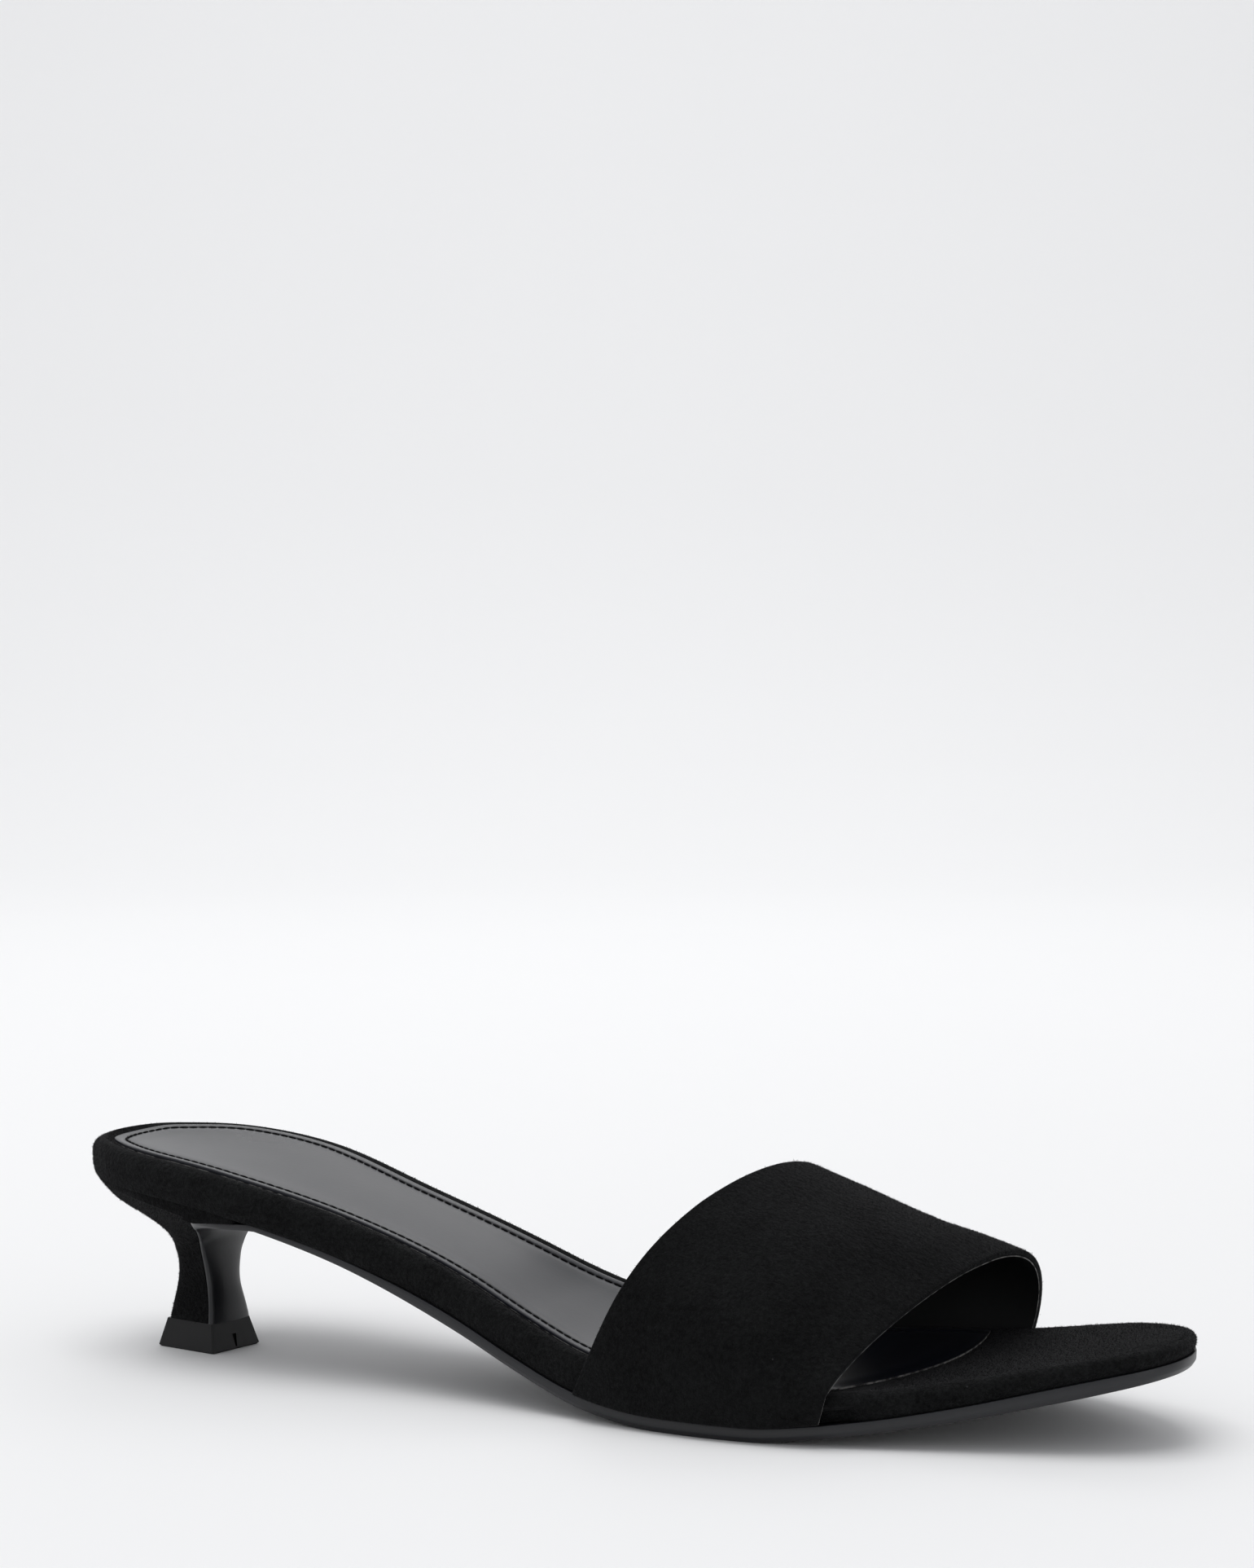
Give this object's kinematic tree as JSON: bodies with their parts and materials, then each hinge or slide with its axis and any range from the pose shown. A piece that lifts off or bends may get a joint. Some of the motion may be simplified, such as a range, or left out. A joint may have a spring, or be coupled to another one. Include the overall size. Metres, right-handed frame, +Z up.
{
  "type": "mule",
  "caption": "Open-toed slip-on mule with one wide band over the toes, a padded footbed and a small flared heel.",
  "frame": {"origin": "on the floor plane, under the centre of the shoe's bounding box", "axes": "+X from the heel to the toe, +Y to the inner side of the right foot, +Z up from the floor"},
  "size_m": [0.246, 0.0798, 0.0489],
  "materials": {
    "outsole": "smooth painted edge, semi-gloss",
    "footbed_suede": "suede, matt",
    "sock_leather": "smooth, soft sheen",
    "band_suede": "suede, matt",
    "heel_suede": "suede, matt",
    "top_piece": "satin"
  },
  "bodies": {
    "root": {"outsole": "outsole", "footbed": "footbed_suede", "sock": "sock_leather", "band": "band_suede", "heel": "heel_suede", "top_piece": "top_piece"}
  },
  "joints": []
}
